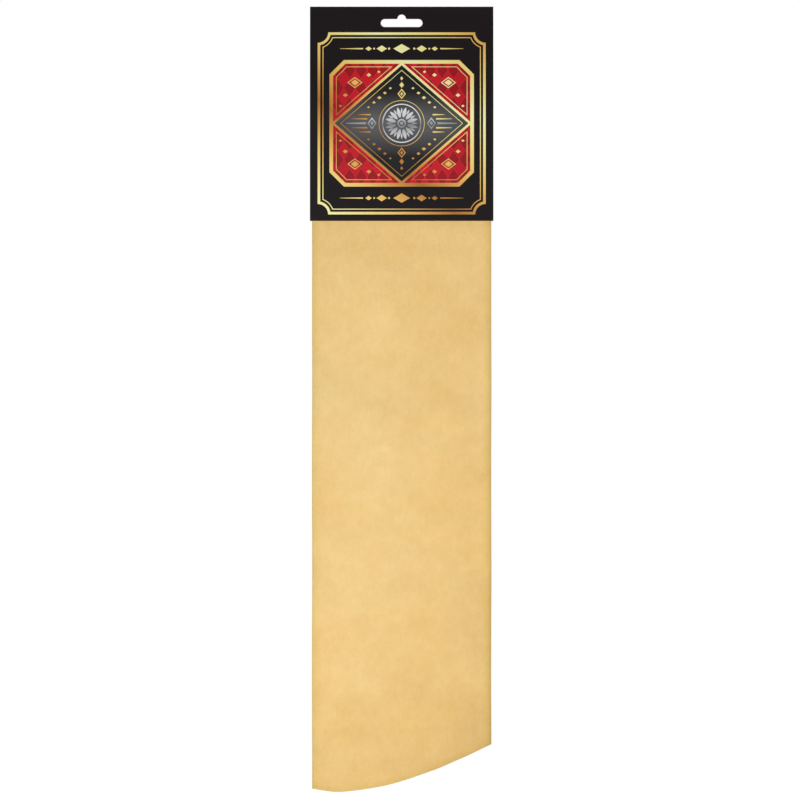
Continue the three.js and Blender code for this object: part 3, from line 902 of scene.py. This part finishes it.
def closed_slab(v, f, top, bottom):
    """Points and faces of a solid between two surfaces over the same triangles. Also the number of top faces and of bottom faces."""
    n = len(v)
    a, b, c = (top[f[:, i]] for i in range(3))
    side = np.cross(b - a, c - a)
    outward = (top - bottom)[f[:, 0]]
    if (side * outward).sum() < 0:
        f = f[:, ::-1]
    edges = np.concatenate([f[:, [0, 1]], f[:, [1, 2]], f[:, [2, 0]]])
    keys = {tuple(e) for e in edges.tolist()}
    rim = np.array([e for e in edges.tolist() if (e[1], e[0]) not in keys])
    walls = np.stack([rim[:, 1], rim[:, 0], rim[:, 0] + n, rim[:, 1] + n], -1)
    faces = [*f.tolist(), *(f[:, ::-1] + n).tolist(), *walls.tolist()]
    return np.concatenate([top, bottom]), faces, len(f)


# ---------------------------------------------------------------- header card


def panel_back_y(t):
    s = np.clip((CREASE_Z - t) / (CREASE_Z - BEND_END), 0, 1)
    return -0.8 + (PANEL_BACK_Y + 0.8) * (s + s * s - s**3)


def panel_slope(t):
    """How fast y falls going down the front panel."""
    s = np.clip((CREASE_Z - t) / (CREASE_Z - BEND_END), 0, 1)
    return (PANEL_BACK_Y + 0.8) * (1 + 2 * s - 3 * s * s) / (CREASE_Z - BEND_END)


def front_point(x, t, h):
    """A point h above the printed face of the front panel. t is the height where the panel's back face is."""
    slope = panel_slope(t)
    norm = np.sqrt(1 + slope**2)
    ny, nz = -1 / norm, -slope / norm
    y = panel_back_y(t) + ny * (BOARD + h)
    z = t + nz * (BOARD + h)
    return np.stack([x, y, z], -1)


def back_point(x, z, h):
    return np.stack([x, np.full_like(x, 0.0) + h, z], -1)


def staple_dimple(x, z):
    g = 0.0
    for sx in (-STAPLE_X, STAPLE_X):
        g = g + smoothstep(7.15, 6.25, np.abs(x - sx)) * smoothstep(1.55, 0.62, np.abs(z - STAPLE_Z))
    return DIMPLE * g


def card_point(x, q, h):
    """A point h from the middle of the board towards its printed side. q runs up the back panel to 0, over the crease to ARC, and down the front panel."""
    y, z = np.zeros_like(x), np.zeros_like(x)
    back, front = q <= 0, q >= ARC
    bend = ~(back | front)
    zb = CREASE_Z + q
    y[back] = (-BOARD / 2 + h) - staple_dimple(x[back], zb[back])
    z[back] = zb[back]
    a = q[bend] / CREASE_MID_R
    y[bend] = CREASE_Y + (CREASE_MID_R + h) * np.cos(a)
    z[bend] = CREASE_Z + (CREASE_MID_R + h) * np.sin(a)
    p = front_point(x[front], CREASE_Z - (q[front] - ARC), h - BOARD / 2)
    y[front], z[front] = p[:, 1], p[:, 2]
    return np.stack([x, y, z], -1)


def circle_part(cx, cy, r, a0, a1, n):
    a = np.radians(np.linspace(a0, a1, n + 1))
    return np.stack([cx + r * np.cos(a), cy + r * np.sin(a)], -1)


def hang_slot():
    """The outline of the hang slot, as (x, z)."""
    r = (SLOT_BAND_TOP - SLOT_BAND_BOTTOM) / 2
    mid = (SLOT_BAND_TOP + SLOT_BAND_BOTTOM) / 2
    f = SLOT_FILLET
    fz = SLOT_BAND_TOP + f
    fx = math.sqrt((SLOT_HUMP_R + f) ** 2 - (fz + SLOT_HUMP_R) ** 2)
    meet = math.degrees(math.atan2(fz + SLOT_HUMP_R, fx))
    return np.concatenate([
        circle_part(-SLOT_HALF + r, mid, r, 270, 90, 24),
        circle_part(-fx, fz, f, -90, -meet, 7),
        circle_part(0, -SLOT_HUMP_R, SLOT_HUMP_R, 180 - meet, meet, 26)[1:-1],
        circle_part(fx, fz, f, 180 + meet, 270, 7),
        circle_part(SLOT_HALF - r, mid, r, 90, -90, 24),
    ])


def build_card():
    height = CREASE_Z - CARD_BOTTOM
    q0, q1 = -height, ARC + height
    outline = np.array([(-CARD_HALF, q0), (CARD_HALF, q0), (CARD_HALF, 0), (CARD_HALF, ARC), (CARD_HALF, q1), (-CARD_HALF, q1), (-CARD_HALF, ARC), (-CARD_HALF, 0)])
    outline = dense(outline, 3.0)
    crease_rows = np.linspace(0, ARC, 11)
    extra = [(sx * CARD_HALF, q) for sx in (-1, 1) for q in crease_rows[1:-1]]
    # the outline needs the crease's rows at both sides
    out = []
    for p, n in zip(outline, np.roll(outline, -1, axis=0)):
        out.append(p)
        if abs(p[0] - n[0]) < 1e-9 and min(p[1], n[1]) < ARC and max(p[1], n[1]) > 0:
            for q in (crease_rows if n[1] > p[1] else crease_rows[::-1]):
                if min(p[1], n[1]) + 1e-6 < q < max(p[1], n[1]) - 1e-6:
                    out.append(np.array([p[0], q]))
    outline = np.array(out)
    slot = hang_slot()
    slot_back = np.stack([slot[:, 0], slot[:, 1] - CREASE_Z], -1)
    slot_front = np.stack([slot[:, 0], ARC + CREASE_Z - slot[:, 1]], -1)
    inner = [
        grid(-CARD_HALF, CARD_HALF, q0, -1.6, 3.0, 3.0),
        grid(-CARD_HALF, CARD_HALF, ARC + 1.2, ARC + CREASE_Z - BEND_END, 3.0, 1.8),
        grid(-CARD_HALF, CARD_HALF, ARC + CREASE_Z - BEND_END + 3, q1, 3.0, 3.0),
    ]
    inner = np.concatenate(inner)
    for sx in (-STAPLE_X, STAPLE_X):
        near = (np.abs(inner[:, 0] - sx) < 9.0) & (np.abs(inner[:, 1] + CREASE_Z - STAPLE_Z) < 3.6)
        inner = inner[~near]
    patches = [np.stack([g[:, 0] + sx, g[:, 1] + STAPLE_Z - CREASE_Z], -1) for sx in (-STAPLE_X, STAPLE_X) for g in (grid(-8.0, 8.0, -2.6, 2.6, 0.42, 0.26),)]
    rows = np.array([(x, q) for q in crease_rows for x in np.linspace(-CARD_HALF, CARD_HALF, 48)[1:-1]])
    inner = np.concatenate([inner, *patches])
    loops = [outline, slot_back, slot_front]
    keep = np.min([distance(inner, l) for l in loops], axis=0) > 0.9
    inner = np.concatenate([inner[keep], rows])
    v, f = triangulate(loops, inner, clear=0.02)
    top, bottom = card_point(v[:, 0], v[:, 1], BOARD / 2), card_point(v[:, 0], v[:, 1], -BOARD / 2)
    points, faces, n = closed_slab(v, f, top, bottom)
    o = make_object("header_card", points, faces, board_black)
    o.data.materials.append(board_bare)
    index = np.ones(len(faces), np.int32)
    index[:n] = 0
    o.data.polygons.foreach_set("material_index", index)
    q = v[:, 1]
    flat = np.stack([v[:, 0], q, np.zeros(len(v))], -1)
    point_vectors(o, "print", np.concatenate([flat, flat + (0, 0, 900.0)]) * MM)
    # ink rubs off at the crease and at the corners of the board
    corner = np.hypot(CARD_HALF - np.abs(v[:, 0]), np.minimum(q - q0, q1 - q))
    wear = np.maximum(0.7 * np.exp(-(((q - ARC / 2) / 0.55) ** 2)), 0.8 * np.exp(-corner / 0.5))
    point_values(o, "wear", np.concatenate([wear, wear]))
    o.data.set_sharp_from_angle(angle=math.radians(40))
    return o


header_card = build_card()


# ---------------------------------------------------------------- print on the card
# A plain traditional layout: nested frames with scooped corners, a bevel-cornered panel with a large graphite lozenge
# between four harlequin corners, a rosette, and rows of lozenges. Each ink is a thin layer of its own.

LABEL_X = 64.0
LABEL_TOP, LABEL_BOTTOM = -13.6, -152.4
LABEL_MID = (LABEL_TOP + LABEL_BOTTOM) / 2
SCOOP = 8.0
PANEL_X = 55.0
PANEL_TOP, PANEL_BOTTOM = LABEL_MID + 48.2, LABEL_MID - 48.2
BEVEL = 11.0
PANEL_FRAME = 2.8
FIELD_X = PANEL_X - PANEL_FRAME
FIELD_Z = PANEL_TOP - LABEL_MID - PANEL_FRAME
FIELD_CUT = BEVEL - 0.586 * PANEL_FRAME


def scooped(d, half_x=LABEL_X, top=LABEL_TOP, bottom=LABEL_BOTTOM, scoop=SCOOP):
    """A rectangle with concave round corners, d inside the outermost one."""
    r = scoop + d
    mid, half_z = (top + bottom) / 2, (top - bottom) / 2
    lean = math.degrees(math.asin(d / r))
    out = []
    for sx, sz, a0, a1 in ((1, 1, 180 + lean, 270 - lean), (1, -1, 90 + lean, 180 - lean), (-1, -1, lean, 90 - lean), (-1, 1, 270 + lean, 360 - lean)):
        out.append(circle_part(sx * half_x, mid + sz * half_z, r, a0, a1, 16))
    return dense(np.concatenate(out), 2.6)


def bevelled(d, half_x=PANEL_X, top=PANEL_TOP, bottom=PANEL_BOTTOM, bevel=BEVEL):
    """A rectangle with cut corners, d inside the outermost one."""
    a, t, b, c = half_x - d, top - d, bottom + d, bevel - 0.586 * d
    return np.array([(-a + c, b), (a - c, b), (a, b + c), (a, t - c), (a - c, t), (-a + c, t), (-a, t - c), (-a, b + c)])


def inset(loop, by):
    """A convex loop with its sides moved in, by one distance or by one for each side."""
    p = np.asarray(loop, float)
    n = len(p)
    by = np.broadcast_to(np.asarray(by, float), (n,))
    d = np.roll(p, -1, axis=0) - p
    d /= np.linalg.norm(d, axis=1, keepdims=True)
    turn = np.sign((np.roll(p, -1, axis=0)[:, 1] * p[:, 0] - np.roll(p, -1, axis=0)[:, 0] * p[:, 1]).sum())
    away = np.stack([-d[:, 1], d[:, 0]], -1) * turn
    start = p + away * by[:, None]
    out = []
    for i in range(n):
        a, u, b, v = start[i - 1], d[i - 1], start[i], d[i]
        k = ((b[0] - a[0]) * v[1] - (b[1] - a[1]) * v[0]) / (u[0] * v[1] - u[1] * v[0])
        out.append(a + u * k)
    return np.array(out)


def lozenge(cx, cz, a, b):
    return dense(np.array([(cx - a, cz), (cx, cz - b), (cx + a, cz), (cx, cz + b)], float), 2.6)


def disc(cx, cz, r, n=28):
    return circle_part(cx, cz, r, 0, 360, n)[:-1]


def bar(x0, x1, z, half0, half1):
    """A thin rule from x0 to x1, of half thickness half0 at x0 and half1 at x1."""
    return dense(np.array([(x0, z - half0), (x1, z - half1), (x1, z + half1), (x0, z + half0)], float), 2.6)


def petal(cx, cz, turn, r0, r1, half):
    """A pointed leaf that stands on a circle, from radius r0 to r1."""
    t = np.linspace(0, 1, 11)
    w = half * np.sin(math.pi * t**0.82) ** 0.8
    r = r0 + (r1 - r0) * t
    side = np.concatenate([np.stack([r, w], -1), np.stack([r[1:-1], -w[1:-1]], -1)[::-1]])
    a = math.radians(turn)
    return np.stack([cx + side[:, 0] * math.cos(a) - side[:, 1] * math.sin(a), cz + side[:, 0] * math.sin(a) + side[:, 1] * math.cos(a)], -1)


def ring_sector(cx, cz, r0, r1, a0, a1, n=6):
    return np.concatenate([circle_part(cx, cz, r0, a0, a1, n), circle_part(cx, cz, r1, a1, a0, n)])


def ink(name, shapes, mat, height, place=front_point, fill=None):
    """One ink: a thin closed layer over each shape. A shape is a list of loops, the later ones holes."""
    points, faces, flats, at = [], [], [], 0
    for loops in shapes:
        inner = None
        if fill:
            l = np.asarray(loops[0])
            inner = grid(l[:, 0].min(), l[:, 0].max(), l[:, 1].min(), l[:, 1].max(), fill, fill)
        v, f = triangulate(loops, inner, clear=0.9)
        p, q, _ = closed_slab(v, f, place(v[:, 0], v[:, 1], height), place(v[:, 0], v[:, 1], -0.04))
        points.append(p)
        faces.extend([tuple(i + at for i in face) for face in q])
        flat = np.stack([v[:, 0], v[:, 1], np.zeros(len(v))], -1)
        flats.extend([flat, flat])
        at += len(p)
    o = make_object(name, np.concatenate(points), faces, mat)
    point_vectors(o, "print", np.concatenate(flats) * MM)
    o.data.set_sharp_from_angle(angle=math.radians(40))
    return o


def zone_row(cz, reach):
    """A row of lozenges and dots with a tapering rule at each side."""
    out = [[lozenge(0, cz, 6.4, 3.6)]]
    for sx in (-1, 1):
        out += [[disc(sx * 9.6, cz, 0.85, 18)], [lozenge(sx * 15.2, cz, 4.0, 2.5)], [disc(sx * 21.0, cz, 0.75, 18)], [lozenge(sx * 25.2, cz, 2.5, 1.7)]]
        out.append([bar(sx * 29.4, sx * reach, cz, 0.55, 0.12) if sx > 0 else bar(sx * reach, sx * 29.4, cz, 0.12, 0.55)])
    return out


def label_front():
    gold, silver, red, grey = [], [], [], []
    gold.append([scooped(0), scooped(2.0)])
    gold.append([scooped(3.7), scooped(4.4)])
    # the panel: a large lozenge that reaches its frame, and four corner fields round it
    def about(points):
        return np.asarray(points, float) + (0, LABEL_MID)

    middle = [(FIELD_X, 0), (0, FIELD_Z), (-FIELD_X, 0), (0, -FIELD_Z)]
    openings = [inset(about(middle), 0.9)]
    for sx, sz in ((1, 1), (-1, 1), (-1, -1), (1, -1)):
        corner = np.array([(FIELD_X, 0), (FIELD_X, FIELD_Z - FIELD_CUT), (FIELD_X - FIELD_CUT, FIELD_Z), (0, FIELD_Z)]) * (sx, sz)
        corner = about(corner)
        # the last side is the one along the lozenge
        openings.append(inset(corner, (0, 0, 0, 0.9)))
        # the red runs a little way under the gold, but not as far as the next corner's red
        under = inset(corner, (-0.4, -0.4, -0.4, 0)) - (0, LABEL_MID)
        under = np.maximum(under * (sx, sz), 0.05) * (sx, sz)
        red.append([dense(about(under), 2.6)])
        gold.append([dense(inset(corner, (2.2, 2.2, 2.2, 3.1)), 2.6), dense(inset(corner, (2.65, 2.65, 2.65, 3.55)), 2.6)])
        cx, cz = sx * 35.6, LABEL_MID + sz * 31.0
        gold.append([lozenge(cx, cz, 5.8, 4.3), lozenge(cx, cz, 4.7, 3.45)])
        gold.append([lozenge(cx, cz, 3.1, 2.3)])
        for x, z, size in ((25.0, 36.8, 1.0), (17.4, 39.2, 0.68), (42.9, 21.4, 1.0), (46.6, 13.2, 0.68)):
            gold.append([lozenge(sx * x, LABEL_MID + sz * z, 1.9 * size, 1.4 * size)])
    gold.append([dense(bevelled(0), 2.6), *[dense(o, 2.6) for o in openings]])
    grey.append([dense(about(middle), 2.6)])
    gold.append([dense(inset(about(middle), 3.6), 2.6), dense(inset(about(middle), 4.05), 2.6)])
    # a chain of small lozenges along each side of the large one
    side = np.array([-FIELD_X, FIELD_Z]) / math.hypot(FIELD_X, FIELD_Z)
    for sx in (-1, 1):
        for sz in (-1, 1):
            for k in (-2, -1, 0, 1, 2):
                x, z = 25.8 * side[1] + 5.5 * k * side[0], -25.8 * side[0] + 5.5 * k * side[1]
                gold.append([lozenge(sx * x, LABEL_MID + sz * z, 1.75 - 0.28 * abs(k), 1.3 - 0.2 * abs(k))])
    # rows between the outer frame and the panel
    gold += zone_row(LABEL_MID + 56.9, 47.0)
    gold += zone_row(LABEL_MID - 56.9, 47.0)
    # rosette
    for k in range(12):
        silver.append([petal(0, LABEL_MID, 30 * k + 15, 4.4, 12.6, 1.42)])
    for k in range(12):
        silver.append([petal(0, LABEL_MID, 30 * k, 7.6, 11.9, 0.62)])
    silver.append([disc(0, LABEL_MID, 3.3, 36), disc(0, LABEL_MID, 2.2, 30)])
    silver.append([disc(0, LABEL_MID, 1.25, 22)])
    silver.append([disc(0, LABEL_MID, 14.9, 72), disc(0, LABEL_MID, 14.1, 72)])
    # stepped rules and lozenges beside it, and lozenges over and under it
    gold.append([disc(0, LABEL_MID, 17.5, 80), disc(0, LABEL_MID, 17.05, 80)])
    for sx in (-1, 1):
        def rule(x0, x1, z, h0, h1):
            return [bar(sx * x0, sx * x1, z, h0, h1) if sx > 0 else bar(sx * x1, sx * x0, z, h1, h0)]
        silver.append([lozenge(sx * 22.6, LABEL_MID, 3.5, 4.5), lozenge(sx * 22.6, LABEL_MID, 2.4, 3.1)])
        silver.append([lozenge(sx * 22.6, LABEL_MID, 1.3, 1.7)])
        silver.append(rule(27.2, 42.5, LABEL_MID, 0.85, 0.18))
        for dz, x0, x1 in ((3.4, 26.2, 38.2), (6.6, 23.6, 32.6)):
            for sz in (-1, 1):
                gold.append(rule(x0, x1, LABEL_MID + sz * dz, 0.62, 0.14))
    for sz in (-1, 1):
        gold.append([lozenge(0, LABEL_MID + sz * 22.4, 3.2, 4.0), lozenge(0, LABEL_MID + sz * 22.4, 2.1, 2.7)])
        gold.append([lozenge(0, LABEL_MID + sz * 22.4, 1.1, 1.45)])
        gold.append([lozenge(0, LABEL_MID + sz * 29.2, 1.8, 2.3)])
        gold.append([lozenge(0, LABEL_MID + sz * 34.2, 1.15, 1.55)])
    return gold, silver, red, grey


gold, silver, red, grey = label_front()
print_red = ink("card_print_red", red, ink_red, 0.020, fill=3.0)
print_grey = ink("card_print_graphite", grey, ink_graphite, 0.028, fill=3.0)
print_gold = ink("card_print_gold", gold, ink_gold, 0.050)
print_silver = ink("card_print_silver", silver, ink_silver, 0.050)

back_gold = [[scooped(0), scooped(1.1)], [scooped(2.4), scooped(2.8)]]
back_gold.append([dense(bevelled(0, 40, LABEL_MID + 24, LABEL_MID - 24, 7), 2.6), dense(bevelled(0.8, 40, LABEL_MID + 24, LABEL_MID - 24, 7), 2.6)])
print_back = ink("card_print_back", back_gold, ink_gold, 0.040, place=back_point)


# ---------------------------------------------------------------- staples


def build_staple(name, cx):
    """Rounded rectangular wire: a crown in the dimple of the back panel, two legs, and the clinched ends on the leather's front."""
    crown = -0.05 - WIRE_Y / 2
    clinch = -9.66 - WIRE_Y / 2 - 0.02
    r = 0.52
    half = STAPLE_HALF
    path = [(-half + CLINCH, clinch + 0.16, 0.35), (-half + CLINCH - 0.5, clinch + 0.10, 0.75), (-half + CLINCH - 1.1, clinch + 0.03, 1.0), (-half + 1.6, clinch - 0.05, 1.0), (-half + 1.0, clinch - 0.03, 1.0)]
    for a in np.linspace(270, 180, 9):
        path.append((-half + r + r * math.cos(math.radians(a)), clinch + r + r * math.sin(math.radians(a)), 1.0))
    path += [(-half, y, 1.0) for y in np.linspace(clinch + r, crown - r, 8)[1:-1]]
    for a in np.linspace(180, 90, 9):
        path.append((-half + r + r * math.cos(math.radians(a)), crown - r + r * math.sin(math.radians(a)), 1.0))
    left = np.array(path, float)
    right = left[::-1].copy()
    right[:, 0] *= -1
    bar_x = np.linspace(-half + r, half - r, 13)[1:-1]
    middle = np.stack([bar_x, crown - 0.05 * np.cos(bar_x / half * math.pi / 2), np.ones(len(bar_x))], -1)
    path = np.concatenate([left, middle, right])
    tangent = np.gradient(path[:, :2], axis=0)
    tangent /= np.linalg.norm(tangent, axis=1, keepdims=True)
    normal = np.stack([-tangent[:, 1], tangent[:, 0]], -1)
    # the wire's section: flat sides and round corners
    ring = []
    a, b, c = WIRE_Y / 2, WIRE_Z / 2, 0.16
    for sx, sy, a0 in ((1, 1, 0), (-1, 1, 90), (-1, -1, 180), (1, -1, 270)):
        ring.extend(circle_part(sx * (a - c), sy * (b - c), c, a0, a0 + 90, 4))
    ring = np.array(ring)
    m = len(ring)
    points = []
    for (x, y, w), nn in zip(path, normal):
        for u, k in ring:
            points.append((cx + x + nn[0] * u * w, y + nn[1] * u * w, STAPLE_Z + k * (0.55 + 0.45 * w)))
    count = len(path)
    faces = []
    for i in range(count - 1):
        for j in range(m):
            faces.append((i * m + j, i * m + (j + 1) % m, (i + 1) * m + (j + 1) % m, (i + 1) * m + j))
    faces.append(tuple(range(m))[::-1])
    faces.append(tuple((count - 1) * m + j for j in range(m)))
    points = np.array(points)
    # outward winding
    p = points
    volume = 0.0
    for f in faces:
        for k in range(1, len(f) - 1):
            volume += np.dot(p[f[0]], np.cross(p[f[k]], p[f[k + 1]]))
    if volume < 0:
        faces = [f[::-1] for f in faces]
    o = make_object(name, points, faces, steel)
    length = np.concatenate([[0], np.cumsum(np.linalg.norm(np.diff(path[:, :2], axis=0), axis=1))])
    around = np.arange(m) / m * 2.6
    point_vectors(o, "along", np.array([(length[i], around[j], 0) for i in range(count) for j in range(m)]) * MM)
    o.data.set_sharp_from_angle(angle=math.radians(50))
    return o


staple_left = build_staple("staple_wire_left", -STAPLE_X)
staple_right = build_staple("staple_wire_right", STAPLE_X)


# ---------------------------------------------------------------- what moves with what

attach(staple_left, "header")
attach(staple_right, "header")
for o in (print_red, print_grey, print_gold, print_silver):
    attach(o, "card_front")
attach(print_back, "header")
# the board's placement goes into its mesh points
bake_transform(header_card)
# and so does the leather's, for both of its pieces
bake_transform(skin_back)
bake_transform(skin_front)

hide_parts("card_back_panel", "card_front_panel")
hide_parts("staple_left")
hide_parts("staple_right")
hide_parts("chamois_top_fold", "chamois_front_neck", "chamois_back_half")
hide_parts("chamois_front_half")


# ---------------------------------------------------------------- floor and light

floor = make_object("floor", [(-20000, -20000, -690), (20000, -20000, -690), (20000, 20000, -690), (-20000, 20000, -690)], [(0, 1, 2, 3)])
m, n = material("floor_white")
n.surface((0.45, 0.45, 0.45, 1), 0.9, None, Specular_IOR_Level=0.0, Emission_Color=(1, 1, 1, 1), Emission_Strength=0.88)
floor.data.materials.append(m)

world = bpy.data.worlds.new("studio")
bpy.context.scene.world = world
world.use_nodes = True
n = Nodes(world.node_tree)
seen = n.new("ShaderNodeBackground", Color=(1, 1, 1, 1), Strength=1.0)
lit = n.new("ShaderNodeBackground", Color=(1, 1, 1, 1), Strength=0.30)
rays = n.tree.nodes.new("ShaderNodeLightPath")
both = n.tree.nodes.new("ShaderNodeMixShader")
n.put(both.inputs[0], rays.outputs["Is Camera Ray"])
n.put(both.inputs[1], lit.outputs[0])
n.put(both.inputs[2], seen.outputs[0])
out = n.tree.nodes.new("ShaderNodeOutputWorld")
n.put(out.inputs["Surface"], both.outputs[0])


def softbox(name, at, aim, size, watts):
    light = bpy.data.lights.new(name, "AREA")
    light.shape = "RECTANGLE"
    light.size, light.size_y = size
    light.energy = watts
    o = bpy.data.objects.new(name, light)
    o.location = at
    o.rotation_euler = (Vector(aim) - Vector(at)).to_track_quat("-Z", "Y").to_euler()
    o.visible_camera = False
    bpy.context.scene.collection.objects.link(o)
    return o


softbox("key", (-0.30, -0.60, -0.41), (-0.01, 0, -0.40), (0.4, 0.4), 1.30)
softbox("back", (0.9, 1.3, 0.0), (0, 0, -0.30), (0.9, 0.9), 2.6)

softbox("top", (0.0, -0.25, 1.15), (0, 0, -0.17), (0.8, 0.8), 6.0)

view = bpy.context.scene.view_settings
view.view_transform = "Standard"
view.look = "None"
view.exposure = 0.0
view.gamma = 1.0
